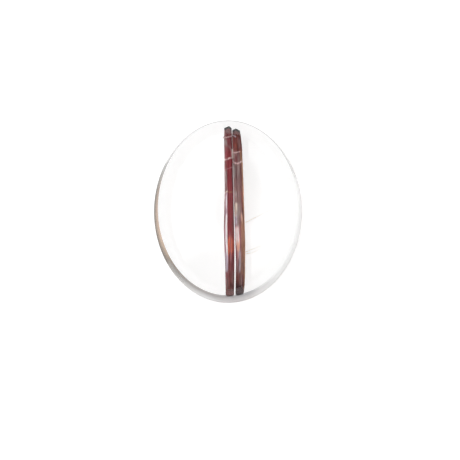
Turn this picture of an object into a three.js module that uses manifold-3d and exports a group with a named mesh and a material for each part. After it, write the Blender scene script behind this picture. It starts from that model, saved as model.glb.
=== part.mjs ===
// Oval rock crystal cabochon with two long striated rutile crystals and three rutile needles inside.
// Millimetres. The stone lies on its flat back, +Z up through the dome and +Y towards the crystals' tips.
// The origin is under the middle of the back.

import * as THREE from 'three';
import { mergeVertices } from 'three/addons/utils/BufferGeometryUtils.js';
import Module from 'manifold-3d';

const wasm = await Module();
wasm.setup();

// The stone: an oval with a low, slightly leaning wall, and a dome that is the cap of an ellipsoid
const STONE_LENGTH = 20.0;
const STONE_WIDTH = 16.0;
const STONE_HEIGHT = 6.8;
const WALL_TOP = 2.1;
const WALL_LEAN = 0.35; // how far the wall's top stands inside its foot
const BACK_BEVEL = 0.25;
const DOME_CUT = 0.9; // the cap's rim, as a share of the whole ellipsoid's half width
const OVAL_SIDES = 96;
const DOME_RINGS = 14;

// The crystals: tetragonal prisms with grooved faces, each in a frame of its own, with its tip at the origin
// and its length along -Y. A tip's outline is its corners from above, left to right, and the width changes
// evenly from the shoulder to the foot.
const GROOVE = 0.05;
const GROOVES_PER_FACE = 4;
const PRISM_FACE_SHARE = 0.62; // the flat grooved face, as a share of the prism's width
const PRISM_SIDE_SHARE = 0.45; // the upright side, as a share of the prism's depth
const CRYSTAL_RUN_OUT = 19.0; // longer than any crystal, so that the stone's surface trims each foot
const CRYSTALS = [
  {
    name: 'rutile_crystal_left',
    tip: [-0.03, 8.62, 2.55],
    turn: 0.68,
    tipOutline: [[-0.345, -0.4], [0.14, 0.0], [0.42, -0.25]],
    tipSlope: 0.35,
    shoulder: 2.0,
    widthAtShoulder: 0.68,
    widthAtFoot: 0.85,
    depth: 0.8,
  },
  {
    name: 'rutile_crystal_right',
    tip: [0.78, 8.25, 2.55],
    turn: 1.6,
    tipOutline: [[-0.32, -0.28], [0.0, 0.0], [0.38, -0.28]],
    tipSlope: 0.25,
    shoulder: 1.4,
    widthAtShoulder: 0.83,
    widthAtFoot: 0.85,
    depth: 0.76,
  },
];

// The needles: each starts just off the right crystal's side and ends inside the stone
const NEEDLE_RADIUS = 0.03;
const NEEDLE_SIDES = 6;
const NEEDLES = [
  { name: 'rutile_needle_upper', from: [1.53, -1.66, 2.55], to: [3.97, -0.33, 2.55] },
  { name: 'rutile_needle_lower', from: [1.64, -4.55, 2.55], to: [3.78, -3.63, 2.55] },
  { name: 'rutile_needle_short', from: [1.67, -4.83, 2.45], to: [3.3, -4.13, 2.45] },
];

// The hollow in the quartz that the rutile fills, with this room around each crystal and needle
const ROOM = 0.1;

const QUARTZ_MATERIAL = new THREE.MeshStandardMaterial({
  color: 0xf3f5f4,
  roughness: 0.03,
  metalness: 0.0,
  transparent: true,
  opacity: 0.35,
});
const RUTILE_MATERIAL = new THREE.MeshStandardMaterial({ color: 0x7c343c, roughness: 0.25, metalness: 0.1 });
const NEEDLE_MATERIAL = new THREE.MeshStandardMaterial({ color: 0xb98d4a, roughness: 0.25, metalness: 0.1 });

// A closed geometry as a solid: shared vertices merged, and slivers with no area left out
function solidOf(geometry) {
  const bare = geometry.clone();
  bare.deleteAttribute('normal');
  bare.deleteAttribute('uv');
  const merged = mergeVertices(bare, 1e-5);
  const index = merged.index.array;
  const triVerts = [];
  for (let i = 0; i < index.length; i += 3) {
    const [a, b, c] = [index[i], index[i + 1], index[i + 2]];
    if (a !== b && b !== c && c !== a) triVerts.push(a, b, c);
  }
  return new wasm.Manifold(new wasm.Mesh({
    numProp: 3,
    vertProperties: new Float32Array(merged.attributes.position.array),
    triVerts: new Uint32Array(triVerts),
  }));
}

function meshOf(name, solid, material) {
  const { vertProperties, triVerts } = solid.getMesh();
  const geometry = new THREE.BufferGeometry();
  geometry.setAttribute('position', new THREE.BufferAttribute(new Float32Array(vertProperties), 3));
  geometry.setIndex(new THREE.BufferAttribute(new Uint32Array(triVerts), 1));
  geometry.computeVertexNormals();
  const mesh = new THREE.Mesh(geometry, material);
  mesh.name = name;
  return mesh;
}

// The stone's half profile, from the middle of the back to the top of the dome. Radii are shares of the
// oval's half sizes, and the oval's half sizes shrink up the wall by its lean.
function stoneProfile() {
  const meanHalfSize = (STONE_WIDTH + STONE_LENGTH) / 4;
  const backRim = 1 - BACK_BEVEL / meanHalfSize;
  const points = [new THREE.Vector2(0, 0), new THREE.Vector2(backRim, 0), new THREE.Vector2(1, BACK_BEVEL)];
  const rimAngle = Math.asin(DOME_CUT);
  const rimHeight = Math.cos(rimAngle);
  for (let ring = 0; ring < DOME_RINGS; ring += 1) {
    const angle = rimAngle * (1 - ring / DOME_RINGS);
    const rise = (Math.cos(angle) - rimHeight) / (1 - rimHeight);
    points.push(new THREE.Vector2(Math.sin(angle) / DOME_CUT, WALL_TOP + (STONE_HEIGHT - WALL_TOP) * rise));
  }
  points.push(new THREE.Vector2(0, STONE_HEIGHT));
  return points;
}

function stoneForm() {
  const geometry = new THREE.LatheGeometry(stoneProfile(), OVAL_SIDES);
  geometry.rotateX(Math.PI / 2);
  const position = geometry.attributes.position;
  for (let i = 0; i < position.count; i += 1) {
    const upWall = THREE.MathUtils.clamp((position.getZ(i) - BACK_BEVEL) / (WALL_TOP - BACK_BEVEL), 0, 1);
    position.setX(i, position.getX(i) * (STONE_WIDTH / 2 - WALL_LEAN * upWall));
    position.setY(i, position.getY(i) * (STONE_LENGTH / 2 - WALL_LEAN * upWall));
  }
  return solidOf(geometry);
}

// A prism's cross-section in X and Z: grooved faces above and below, bevels, and upright sides
function crystalSection(width, depth, groove) {
  const face = width * PRISM_FACE_SHARE;
  const side = depth * PRISM_SIDE_SHARE;
  const steps = 2 * GROOVES_PER_FACE;
  const points = [];
  for (const way of [1, -1]) {
    points.push(new THREE.Vector2((-way * width) / 2, (way * side) / 2));
    for (let step = 0; step <= steps; step += 1) {
      const dip = step % 2 === 1 ? groove : 0;
      points.push(new THREE.Vector2(way * face * (step / steps - 0.5), way * (depth / 2 - dip)));
    }
    points.push(new THREE.Vector2((way * width) / 2, (way * side) / 2));
  }
  return new THREE.Shape(points);
}

// The outline from above: the tip's corners, the shoulder and the foot
function crystalPlan(crystal) {
  const { tipOutline, shoulder, widthAtShoulder, widthAtFoot } = crystal;
  const points = [
    ...tipOutline,
    [widthAtShoulder / 2, -shoulder],
    [widthAtFoot / 2, -CRYSTAL_RUN_OUT],
    [-widthAtFoot / 2, -CRYSTAL_RUN_OUT],
    [-widthAtShoulder / 2, -shoulder],
  ];
  return new THREE.Shape(points.map(([across, along]) => new THREE.Vector2(across, along)));
}

// The outline from the side, in Y and Z, whose tip slopes back towards the top and the underside
function crystalSideView(crystal) {
  const half = crystal.depth / 2;
  const points = [[0, 0], [-crystal.tipSlope, half], [-CRYSTAL_RUN_OUT, half]];
  points.push([-CRYSTAL_RUN_OUT, -half], [-crystal.tipSlope, -half]);
  return new THREE.Shape(points.map(([along, up]) => new THREE.Vector2(up, along)));
}

function placed(geometry, crystal) {
  geometry.rotateZ(THREE.MathUtils.degToRad(crystal.turn));
  geometry.translate(...crystal.tip);
  return solidOf(geometry);
}

// A prism along -Y from the origin, with a given cross-section
function crystalPrism(section) {
  const geometry = new THREE.ExtrudeGeometry(section, { depth: CRYSTAL_RUN_OUT, bevelEnabled: false });
  geometry.rotateX(Math.PI / 2);
  return geometry;
}

function crystalForm(crystal, stone) {
  const width = Math.max(crystal.widthAtShoulder, crystal.widthAtFoot);
  const section = crystalSection(width, crystal.depth, GROOVE);
  const plan = new THREE.ExtrudeGeometry(crystalPlan(crystal), { depth: crystal.depth, bevelEnabled: false });
  plan.translate(0, 0, -crystal.depth / 2);
  const sideView = new THREE.ExtrudeGeometry(crystalSideView(crystal), { depth: width, bevelEnabled: false });
  sideView.rotateY(Math.PI / 2);
  sideView.translate(-width / 2, 0, 0);
  return placed(crystalPrism(section), crystal)
    .intersect(placed(plan, crystal))
    .intersect(placed(sideView, crystal))
    .intersect(stone);
}

// The room that a crystal needs: its section grown on all sides, past the tip and out through the surface
function crystalHollow(crystal) {
  const width = Math.max(crystal.widthAtShoulder, crystal.widthAtFoot);
  const section = crystalSection(width + 2 * ROOM, crystal.depth + 2 * ROOM, 0);
  const geometry = crystalPrism(section);
  geometry.translate(0, ROOM, 0);
  return placed(geometry, crystal);
}

// A straight rod from one point to another, run on past both ends by an extra length
function rod(from, to, radius, extra) {
  const start = new THREE.Vector3(...from);
  const end = new THREE.Vector3(...to);
  const direction = end.clone().sub(start).normalize();
  const length = start.distanceTo(end) + 2 * extra;
  const geometry = new THREE.CylinderGeometry(radius, radius, length, NEEDLE_SIDES);
  geometry.applyQuaternion(new THREE.Quaternion().setFromUnitVectors(new THREE.Vector3(0, 1, 0), direction));
  const middle = start.add(end).multiplyScalar(0.5);
  geometry.translate(middle.x, middle.y, middle.z);
  return solidOf(geometry);
}

const part = new THREE.Group();
const stone = stoneForm();
let quartz = stone;

for (const crystal of CRYSTALS) {
  part.add(meshOf(crystal.name, crystalForm(crystal, stone), RUTILE_MATERIAL));
  quartz = quartz.subtract(crystalHollow(crystal));
}
for (const needle of NEEDLES) {
  part.add(meshOf(needle.name, rod(needle.from, needle.to, NEEDLE_RADIUS, 0), NEEDLE_MATERIAL));
  quartz = quartz.subtract(rod(needle.from, needle.to, NEEDLE_RADIUS + ROOM, ROOM));
}
part.add(meshOf('quartz_cabochon', quartz, QUARTZ_MATERIAL));

export default part;
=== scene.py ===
# An oval rock crystal cabochon with two dark red rutile crystals inside, lying on its flat back
import math

import bpy
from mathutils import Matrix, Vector, noise


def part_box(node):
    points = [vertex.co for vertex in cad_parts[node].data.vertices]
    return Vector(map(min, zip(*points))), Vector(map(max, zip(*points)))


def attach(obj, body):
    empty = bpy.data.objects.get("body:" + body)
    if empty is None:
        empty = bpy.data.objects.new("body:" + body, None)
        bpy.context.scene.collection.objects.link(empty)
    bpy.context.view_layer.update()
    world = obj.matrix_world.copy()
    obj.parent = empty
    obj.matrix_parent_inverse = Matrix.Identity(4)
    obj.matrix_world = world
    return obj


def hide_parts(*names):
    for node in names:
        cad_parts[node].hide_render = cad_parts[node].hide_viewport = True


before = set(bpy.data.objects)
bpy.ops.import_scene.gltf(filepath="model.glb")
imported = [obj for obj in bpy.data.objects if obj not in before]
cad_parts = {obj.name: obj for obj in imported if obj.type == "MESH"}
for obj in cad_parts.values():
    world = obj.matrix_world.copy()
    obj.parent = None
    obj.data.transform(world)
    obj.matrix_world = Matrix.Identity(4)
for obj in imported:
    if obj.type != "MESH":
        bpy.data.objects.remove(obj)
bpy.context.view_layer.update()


# The camera stands almost straight above the stone, leaning a little towards the crystals' cut ends, so that
# the wall shows as a thin crescent there. A long lens keeps the oval's proportions, and the stone lies a
# little above the middle of the square frame.
MM = 0.001
FRAME_PIXELS = 460
PIXEL = 0.1081 * MM
LENS_MM = 250
SENSOR_MM = 36
CAMERA_ELEVATION = math.radians(80)
AIM = Vector((0.216, -1.938, -0.342)) * MM

camera_data = bpy.data.cameras.new("camera")
camera_data.lens = LENS_MM
camera_data.sensor_width = SENSOR_MM
camera = bpy.data.objects.new("camera", camera_data)
bpy.context.scene.collection.objects.link(camera)
towards_camera = Vector((0, -math.cos(CAMERA_ELEVATION), math.sin(CAMERA_ELEVATION)))
camera.location = AIM + towards_camera * (FRAME_PIXELS * PIXEL * LENS_MM / SENSOR_MM)
camera.rotation_mode = "QUATERNION"
camera.rotation_quaternion = (-towards_camera).to_track_quat("-Z", "Y")
bpy.context.scene.camera = camera


# The stone is one piece of clear rock crystal, cut to an oval with a flat back, a fine bevel, a low wall that
# leans in, and a dome that is the cap of an ellipsoid. Dome and back are polished, which has just rounded the
# edges. The wall is only ground.
stone_low, stone_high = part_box("quartz_cabochon")
STONE_HALF_WIDTH = (stone_high.x - stone_low.x) / 2
STONE_HALF_LENGTH = (stone_high.y - stone_low.y) / 2
STONE_HEIGHT = stone_high.z
WALL_TOP = 2.1 * MM
WALL_LEAN = 0.35 * MM
BACK_BEVEL = 0.25 * MM
DOME_CUT = 0.9
EDGE_ROUNDING = 0.07 * MM
OVAL_SIDES = 288
DOME_RINGS = 72
CORNER_STEPS = 6
BACK_RINGS = (0.3, 0.6, 0.8, 0.9, 0.95)  # as shares of the stone's radius


def share_up_the_wall(height):
    """0 at the wall's foot and below it, 1 at the wall's top and above it."""
    return min(max((height - BACK_BEVEL) / (WALL_TOP - BACK_BEVEL), 0.0), 1.0)


def oval_half_sizes(height):
    """Half the width and half the length of the oval that the wall leans in to at a height."""
    inward = WALL_LEAN * share_up_the_wall(height)
    return STONE_HALF_WIDTH - inward, STONE_HALF_LENGTH - inward


def dome_share(height):
    """How wide the dome is at a height, as a share of its rim. It is 1 anywhere on the wall."""
    rise = max((height - WALL_TOP) / (STONE_HEIGHT - WALL_TOP), 0.0)
    rim_cosine = math.sqrt(1 - DOME_CUT ** 2)
    cosine = rim_cosine + (1 - rim_cosine) * rise
    return math.sqrt(1 - cosine ** 2) / DOME_CUT


def rounded_corner(before, corner, after):
    """Points that turn a sharp corner of an outline into a small curve."""
    start = corner + (before - corner).normalized() * EDGE_ROUNDING
    end = corner + (after - corner).normalized() * EDGE_ROUNDING
    points = []
    for step in range(CORNER_STEPS + 1):
        t = step / CORNER_STEPS
        points.append(start * (1 - t) ** 2 + corner * 2 * t * (1 - t) + end * t * t)
    return points


def stone_profile():
    """The half outline, from near the back's middle to near the dome's top, as mean radius and height."""
    radius = (STONE_HALF_WIDTH + STONE_HALF_LENGTH) / 2
    rim_angle = math.asin(DOME_CUT)
    dome = []
    for ring in range(DOME_RINGS):
        angle = rim_angle * (1 - ring / DOME_RINGS)
        rise = (math.cos(angle) - math.cos(rim_angle)) / (1 - math.cos(rim_angle))
        height = WALL_TOP + (STONE_HEIGHT - WALL_TOP) * rise
        dome.append(Vector(((radius - WALL_LEAN) * math.sin(angle) / DOME_CUT, height)))
    back_edge = Vector((radius - BACK_BEVEL, 0))
    wall_foot = Vector((radius, BACK_BEVEL))
    wall_top = dome[0]
    points = [Vector((radius * share, 0)) for share in BACK_RINGS]
    points += rounded_corner(points[-1], back_edge, wall_foot)
    points += rounded_corner(back_edge, wall_foot, wall_top)
    points += rounded_corner(wall_foot, wall_top, dome[1])
    return points + dome[1:]


def mesh_object(name, points, faces, material):
    """A smooth-shaded mesh in the scene, from points in metres and faces of point numbers."""
    mesh = bpy.data.meshes.new(name)
    mesh.from_pydata(points, [], faces)
    mesh.shade_smooth()
    mesh.materials.append(material)
    mesh.update()
    made = bpy.data.objects.new(name, mesh)
    bpy.context.scene.collection.objects.link(made)
    return made


def ring_faces(rings, sides):
    """Quads between rings of points that are numbered one ring after another."""
    faces = []
    for ring in range(rings - 1):
        for side in range(sides):
            beside = (side + 1) % sides
            low, high = ring * sides, (ring + 1) * sides
            faces.append((low + side, low + beside, high + beside, high + side))
    return faces


def stone_mesh():
    """The stone's points and faces: rings around its half outline, closed at the back and at the top."""
    profile = stone_profile()
    points = []
    for radius, height in profile:
        half_width, half_length = oval_half_sizes(height)
        share = radius / ((half_width + half_length) / 2)
        for side in range(OVAL_SIDES):
            turn = 2 * math.pi * side / OVAL_SIDES
            points.append((share * half_width * math.cos(turn), share * half_length * math.sin(turn), height))
    faces = ring_faces(len(profile), OVAL_SIDES)
    back_middle, top = len(points), len(points) + 1
    points += [(0, 0, 0), (0, 0, STONE_HEIGHT)]
    last_ring = back_middle - OVAL_SIDES
    for side in range(OVAL_SIDES):
        beside = (side + 1) % OVAL_SIDES
        faces.append((back_middle, beside, side))
        faces.append((top, last_ring + side, last_ring + beside))
    return points, faces


QUARTZ_IOR = 1.544
QUARTZ_TINT = (0.93, 0.96, 0.97, 1)
QUARTZ_TINT_DENSITY = 4.0


def new_material(name):
    """A material with its node tree, its Principled shader and its output."""
    material = bpy.data.materials.new(name)
    material.use_nodes = True
    tree = material.node_tree
    return material, tree, tree.nodes["Principled BSDF"], tree.nodes["Material Output"]


def quartz_material(name):
    """Clear crystal that light passes through, with a faint tint where it is thick."""
    material, tree, shader, output = new_material(name)
    shader.inputs["Base Color"].default_value = (1, 1, 1, 1)
    shader.inputs["Roughness"].default_value = 0.0
    shader.inputs["IOR"].default_value = QUARTZ_IOR
    shader.inputs["Transmission Weight"].default_value = 1.0
    absorption = tree.nodes.new("ShaderNodeVolumeAbsorption")
    absorption.inputs["Color"].default_value = QUARTZ_TINT
    absorption.inputs["Density"].default_value = QUARTZ_TINT_DENSITY
    tree.links.new(absorption.outputs["Volume"], output.inputs["Volume"])
    return material


def srgb(hex_code):
    """A colour written as six hexadecimal digits, as the linear colour that shaders take."""
    channels = [int(hex_code[i:i + 2], 16) / 255 for i in (0, 2, 4)]
    return Vector([c / 12.92 if c <= 0.04045 else ((c + 0.055) / 1.055) ** 2.4 for c in channels])


def between(table, place):
    """Reads a table of rows, each a place and its values, in falling order of place, at any place."""
    if place >= table[0][0]:
        return table[0][1:]
    for above, below in zip(table, table[1:]):
        if place >= below[0]:
            t = (above[0] - place) / (above[0] - below[0])
            return tuple(high + (low - high) * t for high, low in zip(above[1:], below[1:]))
    return table[-1][1:]


# The wall's finish and painted shade around the stone: direction in degrees from +X towards +Y, tone at the
# wall's top and on the edge above it, tone at its foot, roughness, and how much of the wall the painted shade
# covers. The tones are painted shade and painted reflection of dark surroundings: darkest on the left and
# lower left and along the crease under the dome, and white on the right. The wall is ground and not fully
# polished, least so on the right.
WALL_FINISH_AND_SHADE = tuple((degrees, *srgb(top), *srgb(foot), *finish) for degrees, top, foot, *finish in (
    (360, "ffffff", "ffffff", 0.5, 0.0),
    (308, "ffffff", "ffffff", 0.5, 0.0),
    (292, "e8e8e8", "ffffff", 0.5, 0.0),
    (284, "c0c0c4", "ffffff", 0.5, 0.0),
    (275, "b4b2b4", "ffffff", 0.5, 0.0),
    (255, "b4aeac", "ffffff", 0.5, 0.0),
    (240, "a49c96", "f4f2f0", 0.3, 0.0),
    (228, "9c9084", "c8c2ba", 0.05, 0.3),
    (218, "c8bbae", "8c847a", 0.05, 0.6),
    (205, "d6c8bc", "7c746a", 0.05, 0.7),
    (180, "ccbfb5", "70665c", 0.05, 0.7),
    (165, "bcb2aa", "78726c", 0.05, 0.7),
    (150, "c0bfbc", "888884", 0.05, 0.6),
    (125, "d4d4d4", "c0c0c0", 0.05, 0.3),
    (95, "dcdcdc", "d8d8d8", 0.05, 0.0),
    (60, "dcdcdc", "e0e0e0", 0.05, 0.0),
    (30, "d8d8d8", "ffffff", 0.05, 0.0),
    (22, "ffffff", "ffffff", 0.5, 0.0),
    (0, "ffffff", "ffffff", 0.5, 0.0)))
EDGE_ABOVE_WALL = 0.22 * MM
TONE_POWER = 2  # glass takes the square root of its base colour at each surface that light crosses
POLISHED_GLOSS = 0.5
SHADE_COVER_DULLING = 2.0  # how fast the gloss goes as the painted shade's cover grows


def degrees_around(point):
    """Direction of a point from the middle of the stone, from 0 to 360 degrees, from +X towards +Y."""
    return math.degrees(math.atan2(point.y, point.x)) % 360


def attribute_node(tree, name, output):
    """Reads a value or a colour that the mesh keeps for each of its points."""
    made = tree.nodes.new("ShaderNodeAttribute")
    made.attribute_name = name
    return made.outputs[output]


def finish_and_shade_wall(stone):
    """Gives the wall a finish of its own and its painted shade, which its material reads from the mesh."""
    tones, values = [], {"wall_roughness": [], "wall_clearness": [], "wall_gloss": []}
    for point in (vertex.co for vertex in stone.data.vertices):
        *both_tones, rough, painted_shade_cover = between(WALL_FINISH_AND_SHADE, degrees_around(point))
        top_tone, foot_tone = Vector(both_tones[:3]), Vector(both_tones[3:])
        # Painted shade: the tone blends from its value at the wall's foot to its value at the wall's top
        tone = foot_tone.lerp(top_tone, share_up_the_wall(point.z))
        tones += [*(channel ** TONE_POWER for channel in tone), 1]
        values["wall_roughness"].append(rough)
        values["wall_clearness"].append(1 - painted_shade_cover)
        values["wall_gloss"].append(POLISHED_GLOSS * max(0.0, 1 - SHADE_COVER_DULLING * painted_shade_cover))
    stone.data.attributes.new("wall_painted_shade", "FLOAT_COLOR", "POINT").data.foreach_set("color", tones)
    for name, numbers in values.items():
        stone.data.attributes.new(name, "FLOAT", "POINT").data.foreach_set("value", numbers)
    material = quartz_material("quartz_wall")
    tree = material.node_tree
    shader = tree.nodes["Principled BSDF"]
    for name, output, socket in (("wall_painted_shade", "Color", "Base Color"), ("wall_roughness", "Fac", "Roughness"),
                                 ("wall_clearness", "Fac", "Transmission Weight"),
                                 ("wall_gloss", "Fac", "Specular IOR Level")):
        tree.links.new(attribute_node(tree, name, output), shader.inputs[socket])
    stone.data.materials.append(material)
    for face in stone.data.polygons:
        if BACK_BEVEL < face.center.z < WALL_TOP + EDGE_ABOVE_WALL:
            face.material_index = 1


stone = mesh_object("clear_cabochon", *stone_mesh(), quartz_material("clear_quartz"))
finish_and_shade_wall(stone)
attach(stone, "root")
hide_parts("quartz_cabochon")


# The rutile crystals are two long tetragonal prisms, dark red and finely grooved along their length. They
# grew side by side before the quartz closed over them. Each ends in a blunt dark pyramid, and its foot was
# cut off with the stone and polished flush with it.

# All lengths of the crystals are in millimetres. Each row of edges is a place along the stone, the left edge
# and the right edge, from the tip's shoulders to the cut foot. Outward is the way that faces the clear stone
# and not the other crystal, and only that edge is made uneven by the grooves.
CRYSTALS = {
    "left": {
        "node": "rutile_crystal_left",
        "apex": (0.11, 8.62),
        "outward": -1,
        "edges": ((8.26, -0.38, 0.36), (7.12, -0.36, 0.38), (7.04, -0.47, 0.38), (6.96, -0.47, 0.38),
                  (6.88, -0.36, 0.38), (5.5, -0.34, 0.4), (4.8, -0.32, 0.42), (2.8, -0.31, 0.44),
                  (1.5, -0.29, 0.47), (-0.4, -0.33, 0.51), (-2.2, -0.37, 0.55), (-3.7, -0.34, 0.58),
                  (-5.6, -0.27, 0.6), (-8.2, -0.25, 0.63), (-10.0, -0.25, 0.65)),
        "tip_slope": 0.35,
        "height": 2.55,
        "depth": 0.8,
        "cut_colour": "brown",
    },
    "right": {
        "node": "rutile_crystal_right",
        "apex": (0.78, 8.25),
        "outward": 1,
        "edges": ((7.94, 0.43, 1.17), (7.2, 0.4, 1.23), (5.8, 0.415, 1.3), (4.8, 0.435, 1.31),
                  (3.5, 0.465, 1.34), (1.4, 0.5, 1.4), (-0.5, 0.56, 1.45), (-2.2, 0.62, 1.51),
                  (-3.7, 0.67, 1.58), (-5.6, 0.745, 1.62), (-7.1, 0.76, 1.67), (-8.2, 0.78, 1.71),
                  (-10.0, 0.81, 1.68)),
        "tip_slope": 0.25,
        "height": 2.55,
        "depth": 0.76,
        "cut_colour": "umber",
    },
}
PRISM_FACE_SHARE = 0.62
PRISM_SIDE_SHARE = 0.45
FOOT_INSIDE_SURFACE = 0.012
FIRST_RING_BELOW_APEX = 0.005
RING_SPACING = 0.05
POINTS_ON_FACE = 48
POINTS_ON_BEVEL = 10
POINTS_ON_SIDE = 14

# The grooves come from noise that is drawn out along the crystal
GROOVE_DEPTH = 0.035
FULL_GROOVES_FROM_HALF_WIDTH = 0.3  # grooves are shallower where the tip is narrower than this
GROOVES_ACROSS = 26
GROOVES_AROUND = 9
GROOVE_CHANGE_ALONG = 0.22
GROOVE_GAIN = 1.4
FINE_GROOVE_SCALE = 2.3
FINE_GROOVE_SHARE = 0.35
NEXT_CRYSTAL = 7.3  # how far on in the noise the next crystal's grooves are read


def prism_outline():
    """The prism's outline, in shares of its half width and half depth."""
    face, side = PRISM_FACE_SHARE, PRISM_SIDE_SHARE
    corners = [(-face, 1), (face, 1), (1, side), (1, -side), (face, -1), (-face, -1), (-1, -side), (-1, side)]
    counts = [POINTS_ON_FACE, POINTS_ON_BEVEL, POINTS_ON_SIDE, POINTS_ON_BEVEL] * 2
    outline = []
    for start, end, count in zip(corners, corners[1:] + corners[:1], counts):
        for step in range(count):
            t = step / count
            outline.append((start[0] + (end[0] - start[0]) * t, start[1] + (end[1] - start[1]) * t))
    return outline


def edges_at(crystal, along):
    """The crystal's left and right edge and half depth at a place along the stone."""
    apex_across, apex_along = crystal["apex"]
    shoulder, left, right = crystal["edges"][0]
    low, high = between(crystal["edges"], along)
    if along > shoulder:
        t = (apex_along - along) / (apex_along - shoulder)
        low, high = apex_across + (left - apex_across) * t, apex_across + (right - apex_across) * t
    half_depth = crystal["depth"] / 2 * min(1.0, (apex_along - along) / crystal["tip_slope"])
    return low, high, half_depth


def groove_at(share, around, along, seed):
    """How deep the grooves are, about 0 to 1. The shares are of the prism's width and half depth."""
    lane = Vector((share * GROOVES_ACROSS, around * GROOVES_AROUND + seed, along * GROOVE_CHANGE_ALONG))
    wide = max(0.0, noise.noise(lane) * GROOVE_GAIN)
    return wide + FINE_GROOVE_SHARE * abs(noise.noise(lane * FINE_GROOVE_SCALE))


def foot_along(across, height):
    """Where the stone's polished surface is at the crystals' cut ends, in millimetres along the stone."""
    half_width, half_length = (size * dome_share(height * MM) / MM for size in oval_half_sizes(height * MM))
    return -half_length * math.sqrt(1 - (across / half_width) ** 2) + FOOT_INSIDE_SURFACE


def crystal_mesh(crystal, seed):
    """Points, faces, and for each point its share across the crystal and its place along the stone.

    The cut face at the foot has points of its own, which come last, so that its edge stays crisp.
    """
    outline = prism_outline()
    apex_along = crystal["apex"][1]
    rings = math.ceil((apex_along + STONE_HALF_LENGTH / MM) / RING_SPACING)
    points, marks = [], []
    for ring in range(rings):
        along = apex_along - FIRST_RING_BELOW_APEX - ring * RING_SPACING
        low, high, half_depth = edges_at(crystal, along)
        middle, half_width = (low + high) / 2, (high - low) / 2
        thinner = min(1.0, half_width / FULL_GROOVES_FROM_HALF_WIDTH)
        for x_share, z_share in outline:
            dip = GROOVE_DEPTH * thinner * groove_at((x_share + 1) / 2, z_share, along, seed)
            dip_across = dip if x_share * crystal["outward"] > 0 else 0
            across = middle + x_share * (half_width - dip_across)
            height = crystal["height"] + z_share * (half_depth - dip)
            place = max(along, foot_along(across, height))
            points.append((across * MM, place * MM, height * MM))
            marks.append(((x_share + 1) / 2, place))
    sides = len(outline)
    faces = ring_faces(rings, sides)
    faces.append(tuple(reversed(range(sides))))
    faces.append(tuple(len(points) + side for side in range(sides)))
    return points + points[-sides:], faces, marks + marks[-sides:]


# Rutile's colours: the dark red of the thick crystal and browner where it is cut. Its pale colours are
# painted highlights, the silvery reflections along its grooves, and its coppery colours are painted light
# that shines through its thin edges
COLOURS = {name: srgb(code) for name, code in {
    "black": "1d1417", "umber": "4d2a2e", "brown": "7d4845", "crimson": "8a3b42", "rust": "bc563c",
    "plum": "85474c", "rose": "a46c70", "mauve": "8a6a6a", "grey": "9c8e8a", "tan": "a8744e",
    "peach": "e0a88c", "cream": "e2d4c4", "pink": "e6c8c8", "lavender": "c2b6c4", "white": "f8f2f6",
}.items()}


def colour_rows(*stops):
    """Rows of a place along the stone and its colour, from pairs of place and colour name."""
    return [(place, *COLOURS[name]) for place, name in stops]


BODY_COLOURS = {
    "left": colour_rows(
        (8.7, "umber"), (8.1, "brown"), (7.2, "plum"), (5.9, "plum"), (5.2, "crimson"), (-1.0, "crimson"),
        (-3.0, "crimson"), (-5.5, "plum"), (-8.8, "brown"), (-9.6, "umber")),
    "right": colour_rows(
        (8.3, "umber"), (7.8, "brown"), (5.6, "brown"), (4.6, "mauve"), (-1.0, "mauve"), (-3.0, "rose"),
        (-6.0, "mauve"), (-7.4, "brown"), (-8.6, "umber"), (-9.6, "umber")),
}
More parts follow.
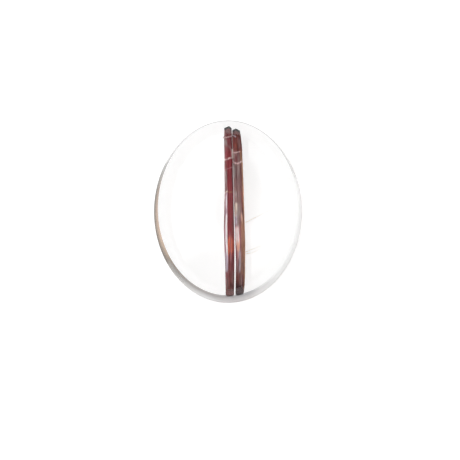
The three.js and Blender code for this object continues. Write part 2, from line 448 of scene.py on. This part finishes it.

# Streaks along the crystals: colour, left and right edge as shares of the crystal's width, tip end and foot
# end in millimetres along the stone, and strength. The white, lavender and pink streaks on the crystals' left
# sides are painted highlights of the light from the left. The tan and peach streaks along the right crystal's
# right edge are painted light shining through the thin edge. The other streaks are the rutile's own colour.
STREAKS = {
    "left": (
        ("rose", 0.25, 0.7, 7.9, 7.5, 0.6),
        ("crimson", 0.4, 0.8, 7.0, 6.6, 0.4),
        ("grey", 0.05, 0.35, 6.75, 6.1, 0.7),
        ("crimson", 0.28, 0.9, 5.45, 4.7, 0.9),
        ("crimson", 0.35, 0.88, 4.45, 3.7, 0.9),
        ("brown", 0.02, 0.3, 4.4, 3.6, 0.8),
        ("mauve", 0.0, 0.32, 3.5, 1.3, 0.9),
        ("grey", 0.1, 0.2, 3.3, 2.3, 0.8),
        ("umber", 0.86, 1.0, 4.4, 1.4, 0.45),
        ("lavender", 0.08, 0.32, 1.3, -6.7, 0.6),
        ("white", 0.16, 0.27, 0.8, -0.3, 0.7),
        ("white", 0.17, 0.31, -0.9, -4.9, 1.0),
        ("mauve", 0.0, 0.07, 1.3, -4.0, 0.7),
        ("lavender", 0.02, 0.3, -4.8, -6.7, 0.9),
        ("brown", 0.75, 0.97, -1.7, -3.4, 0.6),
        ("rust", 0.34, 0.8, -3.1, -4.8, 1.0),
        ("rose", 0.54, 0.7, -2.6, -5.6, 0.5),
        ("rust", 0.76, 0.96, -3.3, -4.5, 0.8),
        ("rose", 0.08, 0.3, -6.7, -7.6, 0.6),
        ("mauve", 0.0, 0.32, -7.5, -8.7, 0.8),
        ("mauve", 0.78, 1.0, -6.6, -8.2, 0.6),
        ("umber", 0.5, 0.85, -8.1, -8.7, 0.5),
    ),
    "right": (
        ("mauve", 0.6, 0.9, 6.9, 5.7, 0.7),
        ("rust", 0.2, 0.5, 6.3, 5.9, 0.3),
        ("mauve", 0.0, 0.7, 5.25, 4.5, 0.8),
        ("crimson", 0.25, 0.5, 5.0, 4.3, 0.6),
        ("tan", 0.8, 1.0, 5.7, 4.5, 0.6),
        ("grey", 0.02, 0.24, 4.1, 2.9, 0.9),
        ("umber", 0.25, 0.36, 4.1, 1.3, 0.6),
        ("grey", 0.42, 0.68, 4.0, 2.8, 0.35),
        ("brown", 0.72, 0.92, 4.1, -0.8, 0.6),
        ("pink", 0.0, 0.08, 2.9, 0.2, 0.7),
        ("grey", 0.06, 0.3, 1.35, 0.9, 0.7),
        ("tan", 0.88, 1.0, 5.0, -9.0, 0.6),
        ("peach", 0.95, 1.05, 5.0, -8.2, 0.7),
        ("rust", 0.8, 0.9, 1.3, -0.4, 0.4),
        ("grey", 0.2, 0.55, -0.1, -1.1, 0.7),
        ("lavender", 0.02, 0.28, -0.9, -1.9, 0.8),
        ("grey", 0.28, 0.42, -1.0, -2.4, 0.6),
        ("peach", 0.68, 0.84, -0.9, -1.7, 0.7),
        ("tan", 0.62, 0.95, -1.7, -5.9, 0.6),
        ("brown", 0.5, 0.64, -1.4, -5.0, 0.5),
        ("pink", 0.04, 0.42, -2.1, -3.8, 0.9),
        ("peach", 0.14, 0.44, -3.6, -4.6, 0.7),
        ("rose", 0.1, 0.28, -4.6, -6.0, 0.8),
        ("pink", 0.26, 0.34, -4.5, -5.4, 0.5),
        ("lavender", 0.38, 0.52, -4.6, -6.8, 0.8),
        ("crimson", 0.0, 0.1, -4.4, -5.8, 0.5),
        ("tan", 0.6, 0.85, -5.8, -7.0, 0.4),
        ("mauve", 0.42, 0.75, -7.0, -8.4, 0.7),
        ("black", 0.0, 1.0, -9.1, -10.0, 0.6),
    ),
}
STREAK_SIDE_SOFTNESS = 0.045
STREAK_END_SOFTNESS = 0.22
STREAK_REACH_ACROSS = 0.1  # a streak has faded out this far outside its sides
STREAK_REACH_ALONG = 0.8  # and this far past its ends

# A streak's ends are ragged and its sides wander a little, by noise that each streak reads elsewhere
STREAK_END_RAGGEDNESS = 0.5
RAGS_ACROSS = 17
RAGS_PER_PLACE = 3.1
STREAK_WANDER = 0.03
WANDERS_PER_EDGE = 9
WANDERS_ALONG = 0.7

# Thin darker and lighter lines run along the whole crystal
LINE_CONTRAST = 0.7
LINES_ACROSS = 19
LINE_CHANGE_ALONG = 0.45

# Cracks across the crystals, healed white: places as share across and millimetres along, half width in
# millimetres, and colour
CRACKS = {
    "left": (
        (((-0.2, 6.98), (0.1, 7.0), (0.55, 7.1), (1.0, 7.22)), 0.08, "pink"),
        (((0.35, 6.15), (0.7, 5.85), (0.98, 5.5)), 0.1, "mauve"),
        (((1.0, 5.6), (0.98, 4.75)), 0.08, "white"),
        (((-0.1, 4.5), (0.35, 4.56), (0.62, 4.7), (1.0, 4.72)), 0.07, "pink"),
        (((-0.1, 3.5), (0.3, 3.56), (0.7, 3.68), (1.0, 3.78)), 0.05, "rose"),
        (((-0.05, 1.15), (0.3, 1.35)), 0.05, "cream"),
        (((0.5, 1.25), (0.9, 1.28)), 0.04, "tan"),
    ),
    "right": (
        (((0.0, 7.3), (0.2, 7.3), (0.4, 7.15)), 0.08, "lavender"),
        (((0.0, 5.6), (0.02, 4.75)), 0.07, "cream"),
        (((0.0, 5.3), (0.3, 5.27), (0.75, 5.4)), 0.055, "pink"),
        (((0.0, 4.4), (0.15, 4.2), (0.5, 4.12), (0.75, 4.25), (1.0, 4.42)), 0.065, "pink"),
        (((0.2, 0.1), (0.12, -0.4), (0.02, -1.0)), 0.13, "cream"),
    ),
}
CRACK_REACH = 0.4  # a crack has faded out this far from its ends along the stone
CRACK_STRENGTH = 0.75
CRACK_UNEVENNESS = 0.9
CRACK_FAINTEST = 0.1
CRACK_SPOTS_ACROSS = 9
CRACK_SPOTS_PER_PLACE = 5

# Each of these uses of the noise reads a layer of its own
RAG_LAYER, WANDER_LAYER, CRACK_LAYER, LINE_LAYER = 0, 2, 4, 6


def smooth_step(low, high, value):
    """0 below low, 1 above high, and an even curve between them."""
    t = min(max((value - low) / (high - low), 0.0), 1.0)
    return t * t * (3 - 2 * t)


def streak_strength(streak, share, along):
    """How strong a streak is at a place on the crystal. Its ends run out along the grooves."""
    _, left, right, top, foot, strength = streak
    near_sides = left - STREAK_REACH_ACROSS < share < right + STREAK_REACH_ACROSS
    near_ends = foot - STREAK_REACH_ALONG < along < top + STREAK_REACH_ALONG
    if not (near_sides and near_ends):
        return 0.0
    rag_spot = Vector((share * RAGS_ACROSS, top * RAGS_PER_PLACE, RAG_LAYER))
    wander_spot = Vector((left * WANDERS_PER_EDGE, along * WANDERS_ALONG, WANDER_LAYER))
    ragged = STREAK_END_RAGGEDNESS * noise.noise(rag_spot)
    wander = STREAK_WANDER * noise.noise(wander_spot)
    inside_sides = min(share + wander - left, right - share - wander)
    inside_ends = min(top + ragged - along, along - foot - ragged)
    side_strength = smooth_step(-STREAK_SIDE_SOFTNESS, STREAK_SIDE_SOFTNESS, inside_sides)
    return strength * side_strength * smooth_step(-STREAK_END_SOFTNESS, STREAK_END_SOFTNESS, inside_ends)


def distance_to_line(places, width, share, along):
    """Distance in millimetres from a line of places, each a share across and a place along."""
    nearest = math.inf
    point = Vector((share * width, along))
    for start, end in zip(places, places[1:]):
        start, end = Vector((start[0] * width, start[1])), Vector((end[0] * width, end[1]))
        run = end - start
        t = min(max((point - start).dot(run) / run.length_squared, 0.0), 1.0)
        nearest = min(nearest, (point - start - run * t).length)
    return nearest


def crack_strength(places, half_width, width, share, along):
    """How strongly a crack shows at a place on the crystal. It is healed unevenly along its line."""
    heights = [place_along for _, place_along in places]
    if not min(heights) - CRACK_REACH <= along <= max(heights) + CRACK_REACH:
        return 0.0
    spot = Vector((share * CRACK_SPOTS_ACROSS, heights[0] * CRACK_SPOTS_PER_PLACE, CRACK_LAYER))
    uneven = CRACK_STRENGTH + CRACK_UNEVENNESS * noise.noise(spot)
    distance = distance_to_line(places, width, share, along)
    return min(max(uneven, CRACK_FAINTEST), 1.0) * math.exp(-(distance / half_width) ** 2)


def crystal_colour(side, width, share, along):
    """The crystal's colour at a place on it: its body, streaks, thin lines and cracks, in that order. Some
    streaks are painted highlights and painted glow.
    """
    colour = Vector(between(BODY_COLOURS[side], along))
    for streak in STREAKS[side]:
        colour = colour.lerp(COLOURS[streak[0]], streak_strength(streak, share, along))
    line = Vector((share * LINES_ACROSS + len(side), along * LINE_CHANGE_ALONG, LINE_LAYER))
    colour *= 1 + LINE_CONTRAST * noise.noise(line)
    for places, half_width, name in CRACKS[side]:
        colour = colour.lerp(COLOURS[name], crack_strength(places, half_width, width, share, along))
    return colour


SHEEN = 0.012  # what the gloss and the dome above add to every colour
LIGHT_IN_THE_STONE = 0.72  # how bright a white crystal looks inside the stone
DARKEST_SURFACE, LIGHTEST_SURFACE = 0.004, 0.97
TIP_SHADE_FROM, TIP_SHADE_TO = 0.1, 0.42


def under_the_sheen(colour):
    """The surface colour that looks like a colour once it is lit and the gloss lies over it."""
    bare = [(channel - SHEEN) / LIGHT_IN_THE_STONE for channel in colour]
    return [min(max(channel, DARKEST_SURFACE), LIGHTEST_SURFACE) for channel in bare]


def tip_shade(crystal, share, along):
    """1 at the near-black edges of the blunt tip, and 0 away from them."""
    shoulder, low, high = crystal["edges"][0]
    apex_across, apex_along = crystal["apex"]
    apex_share = (apex_across - low) / (high - low)
    slope = abs(share - apex_share) / (1 - apex_share if share > apex_share else apex_share)
    edge = apex_along - (apex_along - shoulder) * min(slope, 1.0)
    return 1 - smooth_step(TIP_SHADE_FROM, TIP_SHADE_TO, edge - along)


def math_node(tree, operation, *values):
    """A Math node; each value is a socket or a number."""
    made = tree.nodes.new("ShaderNodeMath")
    made.operation = operation
    for socket, value in zip(made.inputs, values):
        if isinstance(value, (int, float)):
            socket.default_value = value
        else:
            tree.links.new(value, socket)
    return made.outputs[0]


def ramp_node(tree, factor, stops):
    """A colour ramp over pairs of place and linear colour."""
    made = tree.nodes.new("ShaderNodeValToRGB")
    elements = made.color_ramp.elements
    while len(elements) < len(stops):
        elements.new(0.5)
    for element, (place, colour) in zip(elements, stops):
        element.position = place
        element.color = (*colour, 1)
    tree.links.new(factor, made.inputs["Fac"])
    return made.outputs["Color"]


STRIATIONS_ACROSS = 30.0
STRIATION_CHANGE_ALONG = 0.9
STRIATION_DETAIL = 4
STRIATION_STRENGTH = 0.8
STRIATION_TONES = ((0.3, srgb("a08488")), (0.5, srgb("ffffff")), (0.7, srgb("fff0ee")))
RUTILE_IN_QUARTZ_IOR = 1.78
RUTILE_GLOSS = 1.2
RUTILE_ROUGHNESS = 0.2
RUTILE_ROUGHNESS_SPAN = 0.3
GLEAM_FROM, GLEAM_TO = 0.3, 0.8


def striation_noise(tree):
    """Noise drawn out along the crystal, read from its share across and place along."""
    place = tree.nodes.new("ShaderNodeCombineXYZ")
    for axis, name, scale in ((0, "across", STRIATIONS_ACROSS), (1, "along", STRIATION_CHANGE_ALONG)):
        scaled = math_node(tree, "MULTIPLY", attribute_node(tree, name, "Fac"), scale)
        tree.links.new(scaled, place.inputs[axis])
    made = tree.nodes.new("ShaderNodeTexNoise")
    made.inputs["Scale"].default_value = 1.0
    made.inputs["Detail"].default_value = STRIATION_DETAIL
    tree.links.new(place.outputs[0], made.inputs["Vector"])
    return made.outputs["Fac"]


def rutile_material():
    """Dark rutile is a little glossy, and its pale streaks, which are painted highlights, are also made
    metallic so that they gleam like silver.
    """
    material, tree, shader, _ = new_material("striated_rutile")
    fine = striation_noise(tree)
    lines = ramp_node(tree, fine, STRIATION_TONES)
    colour = tree.nodes.new("ShaderNodeMix")
    colour.data_type = "RGBA"
    colour.blend_type = "MULTIPLY"
    colour.inputs[0].default_value = STRIATION_STRENGTH
    tree.links.new(attribute_node(tree, "colour", "Color"), colour.inputs[6])
    tree.links.new(lines, colour.inputs[7])
    tree.links.new(colour.outputs[2], shader.inputs["Base Color"])
    roughness = math_node(tree, "MULTIPLY_ADD", fine, RUTILE_ROUGHNESS_SPAN, RUTILE_ROUGHNESS)
    tree.links.new(roughness, shader.inputs["Roughness"])
    shader.inputs["IOR"].default_value = RUTILE_IN_QUARTZ_IOR
    paleness = tree.nodes.new("ShaderNodeRGBToBW")
    tree.links.new(colour.outputs[2], paleness.inputs[0])
    gloss = math_node(tree, "MULTIPLY", paleness.outputs[0], RUTILE_GLOSS)
    tree.links.new(gloss, shader.inputs["Specular IOR Level"])
    gleam = tree.nodes.new("ShaderNodeMapRange")
    gleam.inputs["From Min"].default_value = GLEAM_FROM
    gleam.inputs["From Max"].default_value = GLEAM_TO
    tree.links.new(paleness.outputs[0], gleam.inputs["Value"])
    tree.links.new(gleam.outputs["Result"], shader.inputs["Metallic"])
    return material


def add_attributes(prism, crystal, side, marks):
    """Keeps each point's colour and its place on the crystal, for the material to read."""
    colours = []
    for share, along in marks:
        low, high, _ = edges_at(crystal, along)
        colour = crystal_colour(side, high - low, share, along)
        colour = colour.lerp(COLOURS["black"], tip_shade(crystal, share, along))
        colours += [*under_the_sheen(colour), 1]
    cut_points = len(prism_outline())
    cut_colour = [*under_the_sheen(COLOURS[crystal["cut_colour"]]), 1]
    colours[-len(cut_colour) * cut_points:] = cut_colour * cut_points
    prism.data.attributes.new("colour", "FLOAT_COLOR", "POINT").data.foreach_set("color", colours)
    for name, values in (("across", [share for share, _ in marks]), ("along", [along for _, along in marks])):
        prism.data.attributes.new(name, "FLOAT", "POINT").data.foreach_set("value", values)


rutile = rutile_material()
for number, (side, crystal) in enumerate(CRYSTALS.items()):
    points, faces, marks = crystal_mesh(crystal, number * NEXT_CRYSTAL)
    prism = mesh_object("striated_rutile_" + side, points, faces, rutile)
    add_attributes(prism, crystal, side, marks)
    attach(prism, "root")
    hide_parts(crystal["node"])


# The needles are three hair-fine rutile crystals that leave the right crystal's side. They are so thin that
# they show pale gold instead of red. Each bends a little and thins towards its outer end. Millimetres.
NEEDLES = {
    "rutile_needle_upper": ((1.56, -1.64, 2.55), (2.6, -1.07, 2.55), (3.97, -0.33, 2.55)),
    "rutile_needle_lower": ((1.66, -4.54, 2.55), (2.2, -4.31, 2.55), (2.9, -4.0, 2.55), (3.78, -3.63, 2.55)),
    "rutile_needle_short": ((1.7, -4.7, 2.45), (2.22, -4.63, 2.45), (2.7, -4.4, 2.45), (3.3, -4.13, 2.45)),
}
NEEDLE_RADIUS = 0.02
NEEDLE_TAPER = 0.6
NEEDLE_SIDES = 6
NEEDLE_TONES = ((0.35, srgb("c9a565")), (0.65, srgb("e6cf98")))
NEEDLE_TONE_SCALE = 2.0 / MM
NEEDLE_ROUGHNESS = 0.3


def needle_mesh(places):
    """A thin six-sided rod along a line of places, tapering to its far end."""
    points = []
    for i, place in enumerate(places):
        place = Vector(place)
        run = (Vector(places[min(i + 1, len(places) - 1)]) - Vector(places[max(i - 1, 0)])).normalized()
        beside = run.cross(Vector((0, 0, 1))).normalized()
        radius = NEEDLE_RADIUS * (1 - NEEDLE_TAPER * i / (len(places) - 1))
        for side in range(NEEDLE_SIDES):
            turn = 2 * math.pi * side / NEEDLE_SIDES
            points.append((place + (beside * math.cos(turn) + Vector((0, 0, math.sin(turn)))) * radius) * MM)
    faces = ring_faces(len(places), NEEDLE_SIDES)
    faces.append(tuple(range(NEEDLE_SIDES)))
    faces.append(tuple(reversed(range(len(points) - NEEDLE_SIDES, len(points)))))
    return points, faces


def needle_material():
    """Pale gold that is a little uneven along the needle."""
    material, tree, shader, _ = new_material("golden_needle")
    place = tree.nodes.new("ShaderNodeTexCoord")
    grain = tree.nodes.new("ShaderNodeTexNoise")
    grain.inputs["Scale"].default_value = NEEDLE_TONE_SCALE
    tree.links.new(place.outputs["Object"], grain.inputs["Vector"])
    colour = ramp_node(tree, grain.outputs["Fac"], NEEDLE_TONES)
    tree.links.new(colour, shader.inputs["Base Color"])
    shader.inputs["Roughness"].default_value = NEEDLE_ROUGHNESS
    shader.inputs["IOR"].default_value = RUTILE_IN_QUARTZ_IOR
    return material


golden = needle_material()
for node, places in NEEDLES.items():
    needle = mesh_object("golden_" + node, *needle_mesh(places), golden)
    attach(needle, "root")
    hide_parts(node)


# The floor is a plain white matt sheet that is lit from below, as a light table is. The stone lies on it, and
# its light comes up through the clear quartz.
FLOOR_HALF_SIZE = 1.5
FLOOR_DROP = 0.01 * MM
FLOOR_GLOW = 0.86
FLOOR_ALBEDO = 0.3
floor_material, _, floor_shader, _ = new_material("pale_floor")
floor_shader.inputs["Base Color"].default_value = (FLOOR_ALBEDO, FLOOR_ALBEDO, FLOOR_ALBEDO, 1)
floor_shader.inputs["Roughness"].default_value = 1.0
floor_shader.inputs["Specular IOR Level"].default_value = 0.0
floor_shader.inputs["Emission Color"].default_value = (1, 1, 1, 1)
floor_shader.inputs["Emission Strength"].default_value = FLOOR_GLOW
floor_corners = [(x * FLOOR_HALF_SIZE, y * FLOOR_HALF_SIZE, -FLOOR_DROP)
                 for x, y in ((-1, -1), (1, -1), (1, 1), (-1, 1))]
floor = mesh_object("floor", floor_corners, [(0, 1, 2, 3)], floor_material)


# The light is a soft studio sky, white on the left and grey in front and overhead. On the right stands a card
# that is grey in front, warm in the middle and dark behind. Its image in the stone draws the stone's edges.
# Each pair of numbers says where a direction's X, Y or Z starts and ends a change of colour.
SKY_LEFT = (2.4, 2.4, 2.4, 1)
CARD_FRONT = (0.4, 0.39, 0.37, 1)
CARD_MIDDLE = (0.42, 0.33, 0.27, 1)
CARD_BEHIND = (0.16, 0.14, 0.12, 1)
CARD_EDGE = (-0.16, 0.02)
CARD_MIDDLE_FROM = (-0.5, -0.1)
CARD_MIDDLE_TO = (0.3, 0.5)
FRONT_LEFT = (0.75, 0.75, 0.75, 1)
FRONT_EDGE = (-0.3, 0.1)
FRONT_TO = (-0.6, -0.45)
OVERHEAD = (0.35, 0.33, 0.31, 1)
OVERHEAD_FROM = (0.91, 0.96)


def sky_blend(tree, value, edge, first, second):
    """Goes from one colour or socket to another where a direction's coordinate crosses an edge."""
    turn = tree.nodes.new("ShaderNodeMapRange")
    turn.interpolation_type = "SMOOTHSTEP"
    turn.inputs["From Min"].default_value, turn.inputs["From Max"].default_value = edge
    tree.links.new(value, turn.inputs["Value"])
    blend = tree.nodes.new("ShaderNodeMix")
    blend.data_type = "RGBA"
    tree.links.new(turn.outputs["Result"], blend.inputs[0])
    for socket, colour in ((blend.inputs[6], first), (blend.inputs[7], second)):
        if isinstance(colour, tuple):
            socket.default_value = colour
        else:
            tree.links.new(colour, socket)
    return blend.outputs[2]


def light_the_sky():
    """Makes the world's background from the colours above, by the direction that it is seen in."""
    world = bpy.data.worlds.new("studio")
    world.use_nodes = True
    bpy.context.scene.world = world
    tree = world.node_tree
    place = tree.nodes.new("ShaderNodeTexCoord")
    parts = tree.nodes.new("ShaderNodeSeparateXYZ")
    tree.links.new(place.outputs["Generated"], parts.inputs[0])
    card = sky_blend(tree, parts.outputs["Y"], CARD_MIDDLE_FROM, CARD_FRONT, CARD_MIDDLE)
    card = sky_blend(tree, parts.outputs["Y"], CARD_MIDDLE_TO, card, CARD_BEHIND)
    whole = sky_blend(tree, parts.outputs["X"], CARD_EDGE, SKY_LEFT, card)
    front = sky_blend(tree, parts.outputs["X"], FRONT_EDGE, FRONT_LEFT, CARD_FRONT)
    whole = sky_blend(tree, parts.outputs["Y"], FRONT_TO, front, whole)
    whole = sky_blend(tree, parts.outputs["Z"], OVERHEAD_FROM, whole, OVERHEAD)
    tree.links.new(whole, tree.nodes["Background"].inputs["Color"])


light_the_sky()
bpy.context.scene.view_settings.view_transform = "Standard"
